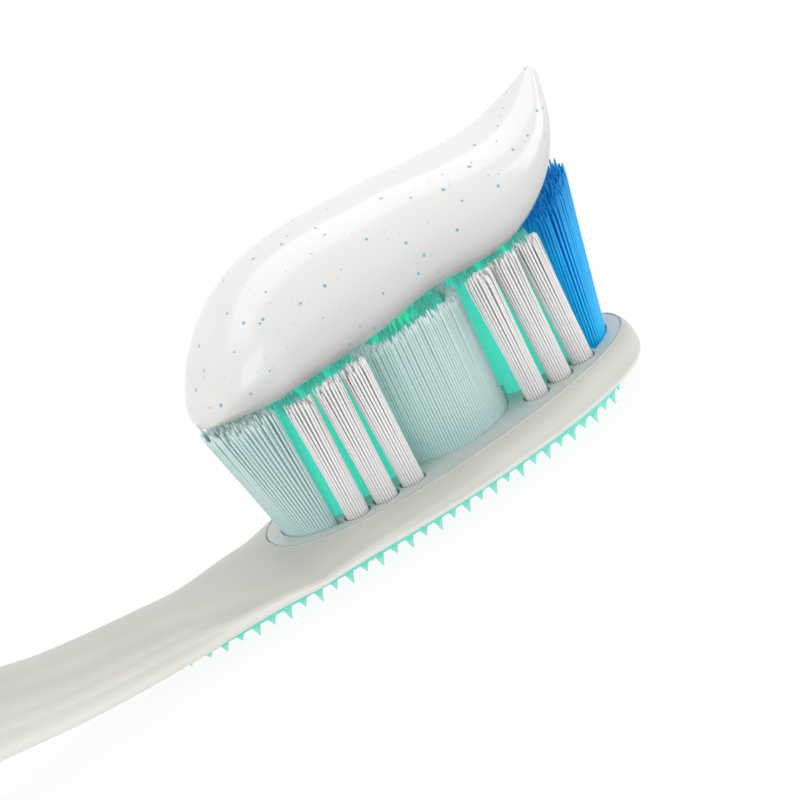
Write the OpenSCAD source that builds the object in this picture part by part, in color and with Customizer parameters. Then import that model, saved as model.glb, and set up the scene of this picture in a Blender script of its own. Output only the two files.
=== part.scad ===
// Toothbrush lying on its back, bristles up, with a ribbon of paste along the bristles.
// X runs along the brush towards the tip of the head, Y across it, Z up from the surface it lies on.

/* [Brush] */
// Length from the end of the handle to the tip of the head
brush_l = 188; // [170:1:205]
// Length of the oval head
head_l = 31.4; // [31:0.2:37]
// Width of the oval head
head_w = 14.6; // [14.2:0.1:17]
// Thickness of the head from its deck to its flat back
head_t = 3; // [2.7:0.05:4.5]
// Fullness of the head's oval outline, 2 for an ellipse
head_fullness = 2.25; // [2.15:0.05:2.6]
// Height of the head's widest place, as a share of its thickness
head_waist = 0.45; // [0.35:0.05:0.6]
// Length over which the underside rises to the tip of the head
bow_l = 3.1; // [2:0.1:5]

/* [Neck and handle] */
// Width of the neck where it is narrowest
neck_w = 6.5; // [5.5:0.1:8]
// Height of the neck's back above the deck where it is narrowest
neck_crown = 1.1; // [0.6:0.05:1.6]
// Distance from the head's rear to the narrowest place of the neck
neck_reach = 8.8; // [7:0.1:11]
// Distance from the narrowest place of the neck back to the top of its arch
arch_l = 28; // [24:0.5:32]
// Height of the neck's back above the deck at the top of its arch
arch_crown = 6.2; // [5:0.1:7.5]
// Clear height under the arch of the neck
arch_clear = 5.3; // [4.2:0.1:5.8]
// Width of the handle at its belly
grip_w = 13.6; // [11:0.1:17]
// Thickness of the handle at its belly
grip_t = 12.6; // [11:0.1:16]
// Width of the handle just before its rounded end
end_w = 10.6; // [8:0.1:13]
// Thickness of the handle just before its rounded end
end_t = 9.2; // [7:0.1:11]
// Length over which the end of the handle is rounded
end_round = 7; // [4:0.2:10]

/* [Tuft plate] */
// Thickness of the oval plate that carries the tufts
plate_t = 1.2; // [0.8:0.05:1.6]
// Width of the head's rim beside the plate
rim_side = 0.85; // [0.7:0.05:1.3]
// Length of the head's rim beyond the plate's ends
rim_end = 0.65; // [0.5:0.05:1.2]
// Gap round the plate in its pocket
plate_gap = 0.06; // [0.03:0.01:0.12]
// Gap round each tuft's root in its hole
hole_gap = 0.04; // [0.02:0.01:0.06]

/* [Bristles] */
// Diameter of one filament
filament_d = 0.22; // [0.18:0.01:0.23]
// Trimmed length of the bristles above the deck in the middle of the head
bristle_l = 9.1; // [8:0.1:11]
// Rise of the trim from the middle of the head to its tip
trim_rise = 0.48; // [0:0.02:0.8]
// Unevenness of the trim, up or down
trim_scatter = 0.25; // [0.1:0.05:0.4]
// Gap between neighbouring side tufts
side_gap = 0.36; // [0.25:0.01:0.6]
// Gap between neighbouring inner tufts
inner_gap = 0.66; // [0.5:0.01:0.9]
// Distance between the side tufts and the edge of the plate, to their middles
side_inset = 2.1; // [1.9:0.05:2.3]
// Distance of the inner tufts from the middle line
inner_offset = 1.3; // [1.2:0.02:1.4]
// Share of the plate's length that the cup of bristles in the middle takes
cup_share = 0.306; // [0.28:0.002:0.312]
// Distance between the rows of filaments in the cup's wall
cup_pitch = 0.38; // [0.3:0.01:0.45]
// Gap between the cup's wall and its core
core_gap = 0.22; // [0.15:0.01:0.35]
// Depth of the tuft at the rear end of the plate
rear_tuft_l = 2.6; // [2.2:0.1:2.8]
// Depth of the tuft at the tip end of the plate
tip_tuft_l = 2.9; // [2.4:0.1:3.1]
// Distance of the end tufts from the edge of the plate
end_inset = 1.15; // [1:0.05:1.4]
// Length of the rear tuft
rear_bristle_l = 9; // [8:0.1:9.2]
// Length of the tip tuft's outermost filaments
tip_bristle_l = 11.8; // [10.5:0.1:12]
// Lean of the outermost filaments of the rear tuft, in degrees
rear_lean = 15; // [8:1:18]
// Lean of the outermost filaments of the tip tuft, in degrees
tip_lean = 11; // [6:1:13]

/* [Tongue cleaner] */
// Length of the soft pad on the head's back
pad_l = 37.9; // [34:0.1:39]
// Distance between the pad's front and the tip of the head
pad_inset = 2.4; // [1.6:0.1:3.5]
// Width of the soft pad at its widest
pad_w = 11; // [9.5:0.1:11.4]
// Thickness of the soft pad
pad_t = 0.6; // [0.5:0.05:0.9]
// How far the pad stands out from the head's back
pad_proud = 0.2; // [0.15:0.01:0.4]
// Height of a cleaning spike
spike_h = 0.95; // [0.7:0.05:1.5]
// Diameter of a spike at its foot
spike_d = 0.7; // [0.5:0.05:0.8]
// Distance between spikes along the pad
spike_pitch = 1.15; // [1.05:0.01:1.6]

/* [Paste] */
// Length of the ribbon of paste
paste_l = 33.5; // [31:0.5:35]
// Width of the ribbon of paste
paste_w = 11; // [9:0.1:12]
// Height of the ribbon above the bristles
paste_h = 8.7; // [7.5:0.1:10]
// Distance that the paste's peak reaches past the head
paste_overhang = 1.65; // [1:0.05:2]
// Gap between the bristles' tips and the paste
paste_gap = 0.1; // [0.05:0.01:0.3]

/* [Hidden] */

// Heights above the surface that the brush lies on
back_z = spike_h + pad_proud;
deck_z = back_z + head_t;

// Half sizes of the head and its plate
head_a = head_l / 2;
head_b = head_w / 2;
plate_a = head_a - rim_end;
plate_b = head_b - rim_side;

// The paste reaches past the head, and the origin lies under the middle of the whole
paste_tip_x = head_a + paste_overhang;
head_x = (brush_l - head_l + head_a - paste_tip_x) / 2;

// What is skimmed off the moulding where it gets a flat
skim = 0.12;
// How far a part that is cut or fused runs past the face it meets
over = 0.2;

// Groups of round tufts on each side of the cup
group_size = 3;
tuft_clear = core_gap;
root_lip = 0.05;

// Smooth curves through rows of values
// Each row starts with its own place, and the other columns are carried between rows by cubics
function span_of(rows, x, k = 0) =
    k >= len(rows) - 2 || x <= rows[k + 1][0] ? k : span_of(rows, x, k + 1);

function slope_at(rows, k, c) =
    k == 0 || k == len(rows) - 1 ? 0
    : (rows[k + 1][c] - rows[k - 1][c]) / (rows[k + 1][0] - rows[k - 1][0]);

function cubic(p, q, m, n, t) =
    p * (1 + 2 * t) * pow(1 - t, 2) + q * t * t * (3 - 2 * t)
    + m * t * pow(1 - t, 2) - n * t * t * (1 - t);

function along(rows, x, c) =
    let (k = span_of(rows, x))
    let (w = rows[k + 1][0] - rows[k][0])
    let (t = min(1, max(0, (x - rows[k][0]) / w)))
    cubic(rows[k][c], rows[k + 1][c], w * slope_at(rows, k, c), w * slope_at(rows, k + 1, c), t);

// Half width of an oval of half sizes a and b at the distance x from its middle
function oval_y(a, b, x, n) = abs(x) >= a ? 0 : b * pow(1 - pow(abs(x) / a, n), 1 / n);

// Points round an oval
function signed_pow(v, p) = sign(v) * pow(abs(v), p);
function oval(a, b, n, steps) = [
    for (k = [0:steps - 1])
        let (t = 360 * k / steps)
        [a * signed_pow(cos(t), 2 / n), b * signed_pow(sin(t), 2 / n)]
];

// Ring at x whose halves above and below its widest place have a fullness each
function two_part_oval(w, top, waist, bottom, n, m, steps, x) = [
    for (k = [0:steps - 1])
        let (t = 360 * k / steps, up = sin(t) >= 0, p = 2 / (up ? n : m))
        let (h = up ? top - waist : waist - bottom)
        [x, w * signed_pow(cos(t), p), waist + h * signed_pow(sin(t), p)]
];

// How full a moulding is at the distance d from a rounded end of length r
function round_off(d, r) = d >= r ? 1 : sqrt(max(0, 1 - pow(1 - d / r, 2)));

// Solid through rings of points that all have the same count
module loft(rings) {
    n = len(rings[0]);
    last = len(rings) - 1;
    points = [for (ring = rings) for (p = ring) p];
    walls = [
        for (r = [0:last - 1]) for (k = [0:n - 1])
            let (a = r * n + k, b = r * n + (k + 1) % n)
            each [[a, b + n, b], [a, a + n, b + n]]
    ];
    start = [for (k = [0:n - 1]) k];
    end = [for (k = [n - 1:-1:0]) last * n + k];
    polyhedron(points = points, faces = concat([start], walls, [end]), convexity = 4);
}

// Handle, neck and head, one moulding
ring_points = 36;
tail_x = head_a - brush_l;
neck_x = -head_a - neck_reach;
foot_z = -2 * skim;
shaft_l = neck_x - 2.14 * arch_l - tail_x;
// Height of the neck's back where the neck is narrowest
low_crown_z = deck_z + neck_crown;
// Height of the moulding's underside at the head before its flat back is cut
cut_z = back_z - skim;
// Height of the head's widest place
waist_z = back_z + head_waist * head_t;
waist_share = (waist_z - cut_z) / (deck_z - cut_z);
// Place from the head's middle, half width, top, bottom, height of the widest place as a share,
// and the fullness of the section above and below it
handle_rows = [
    [tail_x, end_w / 2 - 0.7, end_t - 1, foot_z, 0.5, 2.3, 2.3],
    [tail_x + end_round + 3, end_w / 2, end_t, foot_z, 0.5, 2.3, 2.3],
    [tail_x + 0.39 * shaft_l, grip_w / 2 - 0.5, grip_t - 1.8, foot_z, 0.5, 2.4, 2.4],
    [tail_x + 0.73 * shaft_l, grip_w / 2, grip_t - 0.4, foot_z, 0.5, 2.4, 2.4],
    [neck_x - 2.14 * arch_l, grip_w / 2 - 0.1, grip_t, foot_z, 0.5, 2.4, 2.4],
    [neck_x - 1.54 * arch_l, grip_w / 2 - 0.8, grip_t - 0.8, arch_clear * 0.24, 0.5, 2.4, 2.4],
    [neck_x - arch_l, (grip_w + neck_w) / 4 - 0.4, deck_z + arch_crown, arch_clear, 0.5, 2.4, 2.4],
    [neck_x - 0.52 * arch_l, neck_w / 2 + 0.25, low_crown_z + 3.45, arch_clear - 2.1, 0.5, 2.4, 2.4],
    [neck_x - 0.27 * arch_l, neck_w / 2 + 0.05, low_crown_z + 1.45, back_z + 0.8, 0.5, 2.4, 2.4],
    [neck_x, neck_w / 2, low_crown_z, back_z + 0.02, 0.5, 2.5, 2.5],
    [neck_x + 0.36 * neck_reach, neck_w / 2 + 0.15, deck_z + 0.66 * neck_crown, cut_z, 0.5, 2.4, 2.7],
    [-plate_a, neck_w / 2 + 0.9, deck_z, cut_z, waist_share, 2, 2.8],
    [-plate_a + 4.5, neck_w / 2 + 2.2, deck_z, cut_z, waist_share, 2, 2.8],
    [head_a, neck_w / 2, deck_z, cut_z, waist_share, 2, 2.8]
];

// The oval of the head runs into the neck without a corner
blend = 8;
function handle_half_w(x) =
    let (oval_w = oval_y(head_a, head_b, x, head_fullness))
    let (neck = x < 0 ? along(handle_rows, x, 1) : 0)
    pow(pow(oval_w, blend) + pow(neck, blend), 1 / blend);

// The rim falls away in a round that starts level with the plate all round it
function crown_z(x) =
    let (share = min(0.95, oval_y(plate_a, plate_b, x, head_fullness) / handle_half_w(x)))
    waist_z + (deck_z - waist_z) / sqrt(1 - share * share);

// The moulding closes towards one height at its end, and towards its widest place at the tip
function close_to(z, level, share) = level + (z - level) * share;

function handle_top(x) =
    x < -plate_a ? close_to(along(handle_rows, x, 2), end_t / 2, round_off(x - tail_x, end_round))
    : x < plate_a ? crown_z(x)
    : close_to(deck_z, waist_z, round_off(head_a - x, rim_end));

function handle_bottom(x) =
    x < 0 ? close_to(along(handle_rows, x, 3), end_t / 2, round_off(x - tail_x, end_round))
    : close_to(along(handle_rows, x, 3), waist_z, round_off(head_a - x, bow_l));

function handle_ring(x) =
    let (top = handle_top(x), bottom = handle_bottom(x))
    let (waist = x < -plate_a ? bottom + (top - bottom) * along(handle_rows, x, 4) : waist_z)
    let (w = handle_half_w(x) * round_off(x - tail_x, end_round))
    let (n = along(handle_rows, x, 5), m = along(handle_rows, x, 6))
    two_part_oval(w, top, waist, bottom, n, m, ring_points, x);

function handle_stations() = concat(
    [for (t = [6:9:90]) tail_x + end_round * (1 - cos(t))],
    [for (k = [1:22]) tail_x + end_round + (neck_x - 14 - tail_x - end_round) * k / 22],
    [for (k = [1:7]) neck_x - 14 + 2 * k],
    [for (k = [1:16]) neck_x + (-head_a + 6 - neck_x) * k / 16],
    [for (k = [1:5]) (-head_a + 6) * (1 - k / 5)],
    [for (t = [84:-6:6]) head_a * cos(t)],
    [head_a * cos(3)]
);

module plate_outline(grow = 0) {
    polygon(oval(plate_a + grow, plate_b + grow, head_fullness, 72));
}

module handle() color("ivory") translate([head_x, 0, 0]) difference() {
    loft([for (x = handle_stations()) handle_ring(x)]);
    // Pocket for the tuft plate
    translate([0, 0, deck_z - plate_t]) linear_extrude(height = plate_t + head_t) plate_outline();
    // Flat back under the head, with a recess for the tongue cleaner
    translate([neck_x, -head_b, 0]) cube([head_l + neck_reach + over, head_w, back_z]);
    translate([0, 0, spike_h - over]) linear_extrude(height = pad_t + over) pad_outline();
    // Flat that the handle lies on
    translate([tail_x - over, -grip_w / 2, -1]) cube([neck_x - tail_x, grip_w, 1]);
}

// Places of the tufts, measured from the middle of the head
rear_cut = plate_a - end_inset - rear_tuft_l;
tip_cut = plate_a - end_inset - tip_tuft_l;
cup_x = -0.2;
cup_d = cup_share * 2 * plate_a;

// Lines between which a group of round tufts is spread evenly, rear group first
side_from = [-rear_cut + tuft_clear, cup_x + cup_d / 2 - tuft_clear];
side_to = [cup_x - cup_d / 2 - tuft_clear, tip_cut - 2 * tuft_clear];
inner_from = [-rear_cut + tuft_clear, cup_x + cup_d / 2 + tuft_clear];
inner_to = [cup_x - cup_d / 2 - tuft_clear, tip_cut - tuft_clear];

// The tufts fill the shorter group but for the gaps between them
function fitting_d(from, to, gap) =
    (min(to[0] - from[0], to[1] - from[1]) - (group_size - 1) * gap) / group_size;
side_tuft_d = fitting_d(side_from, side_to, side_gap);
inner_tuft_d = fitting_d(inner_from, inner_to, inner_gap);

function spread_x(from, to, d, k) = from + d / 2 + (to - from - d) * k / (group_size - 1);
function group_x(from, to, d, i) =
    let (g = i <= group_size ? 0 : 1)
    spread_x(from[g], to[g], d, i - 1 - g * group_size);

row_fullness = 3;
function side_x(i) = group_x(side_from, side_to, side_tuft_d, i);
function side_y(i) = oval_y(plate_a - side_inset, plate_b - side_inset, side_x(i), row_fullness);
function inner_x(i) = group_x(inner_from, inner_to, inner_tuft_d, i);

// Height of the trim above the deck, which rises towards the tip
function trim_z(x) = bristle_l + trim_rise * x / head_a;

// Filaments of a round bundle stand on a triangular grid of a number of rings
function bundle(reach, rings) = [
    for (row = [-rings:rings]) for (col = [-rings:rings])
        if (abs(col + row) <= rings)
            [reach / rings * (col + row / 2), reach / rings * row * sqrt(3) / 2]
];

// Foot of a tuft in its hole, up to just below the deck
module round_root(d) {
    translate([0, 0, -plate_t]) cylinder(d = d + 2 * root_lip, h = plate_t, $fn = 48);
}

module filament(h) {
    translate([0, 0, -over]) cylinder(d = filament_d, h = h + over, $fn = 16);
}

// Round tuft at the place x along the head, with a free space between its filaments
module round_tuft(d, x, free, seed) {
    reach = (d - filament_d) / 2;
    places = bundle(reach, max(1, floor(reach / (filament_d + free))));
    trims = rands(-trim_scatter, trim_scatter, len(places), seed);
    round_root(d);
    for (k = [0:len(places) - 1]) translate(places[k]) filament(trim_z(x) + trims[k]);
}

// Side +1 is the far side and -1 the near one, and the two match as in a mirror
module on_side(side) translate([head_x, 0, deck_z]) mirror([0, side < 0 ? 1 : 0, 0]) children();

module side_tuft(i, side) color("white") on_side(side)
    translate([side_x(i), side_y(i), 0]) round_tuft(side_tuft_d, side_x(i), 0.01, 10 + i);

module inner_tuft(i, side) color("turquoise") on_side(side)
    translate([inner_x(i), inner_offset, 0]) round_tuft(inner_tuft_d, inner_x(i), 0.1, 30 + i);

// Cup of bristles round a core
cup_rows = 3;
function cup_radius(row) = (cup_d - filament_d) / 2 - row * cup_pitch;
core_d = cup_d - 2 * cup_rows * cup_pitch - 2 * core_gap;

module cup_tuft() color("paleturquoise") translate([head_x + cup_x, 0, deck_z]) {
    translate([0, 0, -plate_t]) difference() {
        cylinder(d = cup_d + 2 * root_lip, h = plate_t, $fn = 96);
        translate([0, 0, -over])
            cylinder(d = core_d + 2 * root_lip + 2 * hole_gap, h = plate_t + 2 * over, $fn = 96);
    }
    for (row = [0:cup_rows - 1]) {
        count = floor(360 / (2 * asin(cup_pitch / 2 / cup_radius(row))));
        trims = rands(-trim_scatter, trim_scatter, count, 50 + row);
        for (k = [0:count - 1]) rotate(360 * (k + row / 2) / count)
            translate([cup_radius(row), 0, 0]) filament(bristle_l - trim_scatter + trims[k]);
    }
}

module core_tuft() color("turquoise") translate([head_x + cup_x, 0, deck_z])
    round_tuft(core_d, cup_x, 0.25, 60);

// Tufts at the ends follow the oval of the plate and are cut straight towards the middle
end_a = plate_a - end_inset;
end_b = plate_b - end_inset;
function end_outline(cut, grow, steps = 24) =
    let (a = end_a + grow, b = end_b + grow, from = cut - grow)
    let (limit = acos(pow(from / a, head_fullness / 2)))
    [
        for (k = [0:steps])
            let (t = limit * (2 * k / steps - 1))
            [a * signed_pow(cos(t), 2 / head_fullness), b * signed_pow(sin(t), 2 / head_fullness)]
    ];

end_pitch = 0.36;
function end_places(cut) =
    let (inner = filament_d / 2 + 0.03)
    let (cols = ceil(end_a / end_pitch), rows = ceil(end_b / end_pitch))
    [
        for (col = [0:cols]) for (row = [-rows:rows])
            let (x = end_a - inner - col * end_pitch * sqrt(3) / 2)
            let (y = (row + (col % 2) / 2) * end_pitch)
            if (x > cut + inner && abs(y) < oval_y(end_a - inner, end_b - inner, x, head_fullness))
                [x, y]
    ];

// Filaments fan out along the brush, and their length goes evenly from the cut to the outer edge
module fan_tuft(cut, lean_from, lean_to, l_from, l_to, seed) {
    places = end_places(cut);
    trims = rands(-trim_scatter, trim_scatter, len(places), seed);
    translate([0, 0, -plate_t]) linear_extrude(height = plate_t)
        polygon(end_outline(cut, root_lip));
    for (k = [0:len(places) - 1]) {
        share = (places[k][0] - cut) / (end_a - cut);
        lean = lean_from + (lean_to - lean_from) * share;
        length = l_from + (l_to - l_from) * share + trims[k];
        translate(places[k]) rotate([0, lean, 0]) filament(length / cos(lean));
    }
}

module rear_tuft() color("paleturquoise") translate([head_x, 0, deck_z]) rotate(180)
    fan_tuft(rear_cut, 3, rear_lean, rear_bristle_l, rear_bristle_l, 70);

module tip_tuft() color("dodgerblue") translate([head_x, 0, deck_z])
    fan_tuft(tip_cut, 3, tip_lean, trim_z(tip_cut), tip_bristle_l, 80);

// Plate with a hole for each tuft
module round_hole(d) {
    translate([0, 0, -plate_t - over])
        cylinder(d = d + 2 * root_lip + 2 * hole_gap, h = plate_t + 2 * over, $fn = 48);
}

module end_hole(cut) {
    translate([0, 0, -plate_t - over]) linear_extrude(height = plate_t + 2 * over)
        polygon(end_outline(cut, root_lip + hole_gap));
}

module tuft_plate() color("lightgray") translate([head_x, 0, deck_z]) difference() {
    translate([0, 0, -plate_t]) linear_extrude(height = plate_t) plate_outline(-plate_gap);
    for (side = [-1, 1]) for (i = [1:2 * group_size]) {
        translate([side_x(i), side * side_y(i), 0]) round_hole(side_tuft_d);
        translate([inner_x(i), side * inner_offset, 0]) round_hole(inner_tuft_d);
    }
    translate([cup_x, 0, 0]) round_hole(cup_d);
    end_hole(tip_cut);
    rotate(180) end_hole(rear_cut);
}

// Soft pad with spikes, set into the flat back of the head
pad_front = head_a - pad_inset;
pad_back = pad_front - pad_l;
pad_end_r = 1.5;
pad_front_r = 7;
// Share of the pad's length from its rear end, and share of its half width
pad_rows = [
    [0.00, 0.20], [0.18, 0.44], [0.35, 0.70], [0.52, 0.89],
    [0.65, 0.95], [0.78, 1.00], [0.86, 0.97], [1.00, 1.00]
];

function pad_half_w(x) =
    pad_w / 2 * along(pad_rows, (x - pad_back) / pad_l, 1)
    * round_off(x - pad_back, pad_end_r) * round_off(pad_front - x, pad_front_r);

module pad_outline() {
    half = [
        for (k = [0:40])
            let (x = pad_back + pad_l * (1 - cos(4.5 * k)) / 2)
            [x, k == 0 || k == 40 ? 0 : pad_half_w(x)]
    ];
    polygon(concat(half, [for (k = [39:-1:1]) [half[k][0], -half[k][1]]]));
}

module spike(h) {
    translate([0, 0, -over]) cylinder(d1 = spike_d + 0.1, d2 = 0.14, h = h + over, $fn = 16);
}

// Spikes are lower towards the pad's rear end
function spike_share(x) = min(1, 0.5 + (x - pad_back) / (0.35 * pad_l));

module cleaner_pad() color("aquamarine") translate([head_x, 0, spike_h]) mirror([0, 0, 1]) {
    edge = spike_d / 2 + 0.1;
    lanes = floor(pad_w / 2 / spike_pitch);
    cols = floor((pad_l - 2 * edge) / spike_pitch);
    translate([0, 0, -pad_t]) linear_extrude(height = pad_t) pad_outline();
    // A lane of spikes along each edge, with straight lanes between them
    for (col = [1:cols]) {
        x = pad_front - edge - col * spike_pitch;
        y = pad_half_w(x) - edge;
        h = spike_h * spike_share(x) * (col % 2 == 0 ? 1 : 0.72);
        if (y > spike_pitch / 2) for (side = [-1, 1]) translate([x, side * y, 0]) spike(h);
        if (y > 0 && y <= spike_pitch / 2) translate([x, 0, 0]) spike(h);
        for (lane = [-lanes:lanes]) {
            inner_x = x - spike_pitch / 2 * (lane % 2 == 0 ? 0 : 1);
            inner_y = lane * spike_pitch;
            if (abs(inner_y) + edge + spike_pitch < pad_half_w(inner_x))
                translate([inner_x, inner_y, 0]) spike(spike_h * 0.85 * spike_share(x));
        }
    }
}

// Ribbon of paste, a wave that starts blunt and ends in a curled peak
paste_z = deck_z + bristle_l + trim_scatter + paste_gap;
paste_back_x = paste_tip_x - paste_l;
// Place along the ribbon, then shares of its length and height for the top and the underside,
// and the share of its half width
paste_rows = [
    [0.00, 0.000, 0.139, 0.002, 0.076, 0.05],
    [0.04, 0.025, 0.307, 0.019, 0.079, 0.42],
    [0.12, 0.074, 0.565, 0.120, 0.038, 0.84],
    [0.24, 0.180, 0.885, 0.193, 0.020, 0.93],
    [0.38, 0.317, 1.000, 0.387, 0.009, 1.00],
    [0.54, 0.522, 0.946, 0.521, 0.043, 0.97],
    [0.70, 0.692, 0.854, 0.720, 0.008, 0.99],
    [0.82, 0.822, 0.804, 0.854, 0.211, 0.82],
    [0.92, 0.912, 0.862, 0.942, 0.538, 0.52],
    [1.00, 0.988, 0.991, 1.000, 0.888, 0.06]
];

// The ribbon slumps on the bristles, so its underside is flatter than its top, and rises with them
paste_waist = 0.42;
function paste_ring(s) =
    let (top = [paste_l * along(paste_rows, s, 1), paste_h * along(paste_rows, s, 2)])
    let (low = [paste_l * along(paste_rows, s, 3), paste_h * along(paste_rows, s, 4)])
    let (w = paste_w / 2 * along(paste_rows, s, 5))
    [
        for (p = two_part_oval(w, 1, paste_waist, 0, 2.1, 3.2, 36, 0))
            let (x = low[0] + (top[0] - low[0]) * p[2], z = low[1] + (top[1] - low[1]) * p[2])
            [x, p[1], z + trim_rise * (paste_back_x + x) / head_a]
    ];

module paste() color("whitesmoke") translate([head_x + paste_back_x, 0, paste_z])
    loft([for (k = [0:44]) paste_ring((1 - cos(180 * k / 44)) / 2)]);

handle();
tuft_plate();
cleaner_pad();
rear_tuft();
tip_tuft();
cup_tuft();
core_tuft();
for (i = [1:2 * group_size]) {
    side_tuft(i, -1);
    side_tuft(i, 1);
    inner_tuft(i, -1);
    inner_tuft(i, 1);
}
paste();
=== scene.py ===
"""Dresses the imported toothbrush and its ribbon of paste, and sets up its studio picture.

The brush lies on its back along X, with its bristles up and its head towards +X.
Shapes are worked out in millimetres from the middle of the head at the height of its deck,
and become metres of the shared frame when a mesh is made.
"""

import logging
import math
import random
from dataclasses import dataclass, field
from enum import Enum
from typing import Iterator, Sequence, Union

import bpy
from mathutils import Matrix, Vector, noise


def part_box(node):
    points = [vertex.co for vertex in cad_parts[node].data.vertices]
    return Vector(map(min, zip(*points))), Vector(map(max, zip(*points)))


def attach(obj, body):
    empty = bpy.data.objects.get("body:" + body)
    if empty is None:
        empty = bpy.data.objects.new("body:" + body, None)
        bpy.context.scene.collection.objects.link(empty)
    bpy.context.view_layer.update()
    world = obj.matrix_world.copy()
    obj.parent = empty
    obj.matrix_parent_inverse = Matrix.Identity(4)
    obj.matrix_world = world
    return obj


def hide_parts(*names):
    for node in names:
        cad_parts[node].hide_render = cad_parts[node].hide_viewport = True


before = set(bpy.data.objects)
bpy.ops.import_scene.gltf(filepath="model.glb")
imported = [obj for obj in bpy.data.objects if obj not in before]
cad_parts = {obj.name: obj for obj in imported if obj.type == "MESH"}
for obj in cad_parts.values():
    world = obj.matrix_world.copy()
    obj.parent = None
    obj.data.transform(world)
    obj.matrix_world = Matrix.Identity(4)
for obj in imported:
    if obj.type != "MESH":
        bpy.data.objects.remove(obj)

LOG = logging.getLogger("toothbrush")
MM = 0.001
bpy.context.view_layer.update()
BODY = "root"
Colour = tuple[float, float, float]
Point = tuple[float, float, float]
Pair = tuple[float, float]


def linear(code: str) -> Colour:
    """Turns a hexadecimal screen colour into the linear colour that a shader takes.

    Args:
        code: Six hexadecimal digits, such as "E0DFD8".

    Returns:
        The red, green and blue shares of light.
    """
    shares = [int(code[k : k + 2], 16) / 255 for k in (0, 2, 4)]
    return tuple(c / 12.92 if c <= 0.04045 else ((c + 0.055) / 1.055) ** 2.4 for c in shares)


class Value:
    """One output of a material's nodes, on which Python's operators add Math nodes."""

    def __init__(self, graph: "Graph", socket: bpy.types.NodeSocket) -> None:
        """Keeps the socket with the graph that it belongs to."""
        self.graph = graph
        self.socket = socket

    def maths(self, operation: str, *others: Union["Value", float]) -> "Value":
        """Adds a Math node that starts with this value.

        Args:
            operation: The Math node's operation.
            others: Its further inputs.

        Returns:
            The node's result.
        """
        return self.graph.maths(operation, self, *others)

    def __add__(self, other: Union["Value", float]) -> "Value":
        """This value plus another."""
        return self.maths("ADD", other)

    __radd__ = __add__

    def __sub__(self, other: Union["Value", float]) -> "Value":
        """This value less another."""
        return self.maths("SUBTRACT", other)

    def __rsub__(self, other: float) -> "Value":
        """A number less this value."""
        return self.graph.maths("SUBTRACT", other, self)

    def __mul__(self, other: Union["Value", float]) -> "Value":
        """This value times another."""
        return self.maths("MULTIPLY", other)

    __rmul__ = __mul__

    def __lt__(self, other: Union["Value", float]) -> "Value":
        """1 where this value is lower than another, and 0 elsewhere."""
        return self.maths("LESS_THAN", other)

    def __gt__(self, other: Union["Value", float]) -> "Value":
        """1 where this value is higher than another, and 0 elsewhere."""
        return self.maths("GREATER_THAN", other)

    def ramp(self, low: float, high: float) -> "Value":
        """Rises smoothly from 0 at low to 1 at high.

        Args:
            low: Where the rise starts.
            high: Where it ends, which may be below low for a fall.

        Returns:
            A value from 0 to 1.
        """
        settings = {"interpolation_type": "SMOOTHSTEP"}
        inputs = {"Value": self, "From Min": low, "From Max": high}
        return self.graph.value("ShaderNodeMapRange", settings, inputs, "Result")


Input = Union[Value, float, Sequence[float]]
Inputs = dict[Union[str, int], Input]
Settings = dict[str, object]
Owner = Union[bpy.types.Material, bpy.types.World]


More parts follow.
